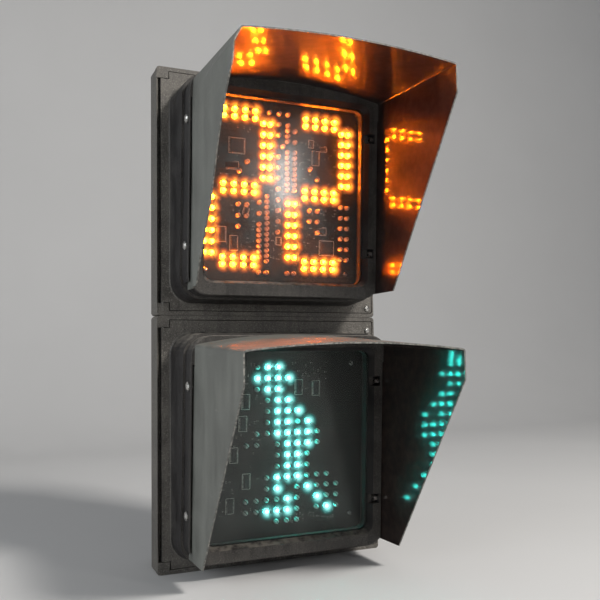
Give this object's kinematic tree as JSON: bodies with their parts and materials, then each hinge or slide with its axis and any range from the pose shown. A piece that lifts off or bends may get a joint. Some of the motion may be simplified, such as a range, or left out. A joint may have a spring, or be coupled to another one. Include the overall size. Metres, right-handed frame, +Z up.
{
  "type": "pedestrian traffic light",
  "caption": "Square pedestrian signal head in two stacked sections, a countdown display over a walking figure, each with a hinged door, deep bezel, clear lens and hooded visor.",
  "frame": {"origin": "on the upright axis of the bracket bosses, level with the bottom face of the lower section", "axes": "+Z up the stack, front and visors facing -Y, +X to the right of someone facing the signal"},
  "size_m": [0.35, 0.381, 0.73],
  "materials": {
    "housing_plastic": "moulded plastic with a fine pebble grain, weathered dark warm grey with pale dust",
    "visor_sheet": "thin sheet, dusty and matt outside, smooth dark and glossy inside",
    "rubber": "black foam rubber",
    "clear_lens": "clear flat cover, slightly hazy",
    "black_plastic": "black moulded plastic",
    "circuit_board": "near-black lacquered circuit board with lamps in rows",
    "bare_aluminium": "extruded, finned",
    "steel": "stainless steel fasteners",
    "zinc": "zinc die casting",
    "pale_plastic": "pale terminal block",
    "wire_sheath": "black cable sheath"
  },
  "bodies": {
    "casing": {"lower_housing": "housing_plastic", "upper_housing": "housing_plastic", "lower_hinge_pin_bottom": "steel", "lower_hinge_pin_top": "steel", "lower_power_supply": "bare_aluminium", "upper_hinge_pin_bottom": "steel", "upper_hinge_pin_top": "steel", "upper_power_supply": "bare_aluminium", "terminal_block": "pale_plastic", "coupler": "zinc", "coupler_nut": "zinc", "coupler_seal": "rubber", "top_cap_seal": "rubber", "top_cap": "housing_plastic", "top_cap_nut": "housing_plastic", "feed_cable": "wire_sheath"},
    "lower_door_assembly": {"lower_door": "housing_plastic", "lower_door_gasket": "rubber", "lower_lens_gasket": "rubber", "lower_lens": "clear_lens", "lower_lens_retainer": "black_plastic", "lower_led_board": "circuit_board", "lower_led_tray": "black_plastic", "lower_visor": "visor_sheet", "lower_visor_screw_left_bottom": "steel", "lower_visor_nut_left_bottom": "steel", "lower_board_screw_left_bottom": "steel", "lower_visor_screw_left_top": "steel", "lower_visor_nut_left_top": "steel", "lower_board_screw_left_top": "steel", "lower_visor_screw_right_bottom": "steel", "lower_visor_nut_right_bottom": "steel", "lower_board_screw_right_bottom": "steel", "lower_visor_screw_right_top": "steel", "lower_visor_nut_right_top": "steel", "lower_board_screw_right_top": "steel"},
    "lower_bottom_screw": {"lower_door_screw_bottom": "steel"},
    "lower_top_screw": {"lower_door_screw_top": "steel"},
    "upper_door_assembly": {"upper_door": "housing_plastic", "upper_door_gasket": "rubber", "upper_lens_gasket": "rubber", "upper_lens": "clear_lens", "upper_lens_retainer": "black_plastic", "upper_led_board": "circuit_board", "upper_led_tray": "black_plastic", "upper_visor": "visor_sheet", "upper_visor_screw_left_bottom": "steel", "upper_visor_nut_left_bottom": "steel", "upper_board_screw_left_bottom": "steel", "upper_visor_screw_left_top": "steel", "upper_visor_nut_left_top": "steel", "upper_board_screw_left_top": "steel", "upper_visor_screw_right_bottom": "steel", "upper_visor_nut_right_bottom": "steel", "upper_board_screw_right_bottom": "steel", "upper_visor_screw_right_top": "steel", "upper_visor_nut_right_top": "steel", "upper_board_screw_right_top": "steel"},
    "upper_bottom_screw": {"upper_door_screw_bottom": "steel"},
    "upper_top_screw": {"upper_door_screw_top": "steel"}
  },
  "joints": [
    {"name": "lower_door_hinge", "type": "hinge", "parent": "casing", "child": "lower_door_assembly", "pos_m": [-0.166, -0.065, 0.1808], "axis": [0, 0, -1], "range_deg": [0, 105]},
    {"name": "lower_bottom_screw_turn", "type": "hinge", "parent": "lower_door_assembly", "child": "lower_bottom_screw", "pos_m": [0.1625, -0.07, 0.014], "axis": [0, -1, 0], "continuous": true},
    {"name": "lower_top_screw_turn", "type": "hinge", "parent": "lower_door_assembly", "child": "lower_top_screw", "pos_m": [0.1625, -0.07, 0.341], "axis": [0, -1, 0], "continuous": true},
    {"name": "upper_door_hinge", "type": "hinge", "parent": "casing", "child": "upper_door_assembly", "pos_m": [-0.166, -0.065, 0.5428], "axis": [0, 0, -1], "range_deg": [0, 105]},
    {"name": "upper_bottom_screw_turn", "type": "hinge", "parent": "upper_door_assembly", "child": "upper_bottom_screw", "pos_m": [0.1625, -0.07, 0.376], "axis": [0, -1, 0], "continuous": true},
    {"name": "upper_top_screw_turn", "type": "hinge", "parent": "upper_door_assembly", "child": "upper_top_screw", "pos_m": [0.1625, -0.07, 0.703], "axis": [0, -1, 0], "continuous": true}
  ]
}
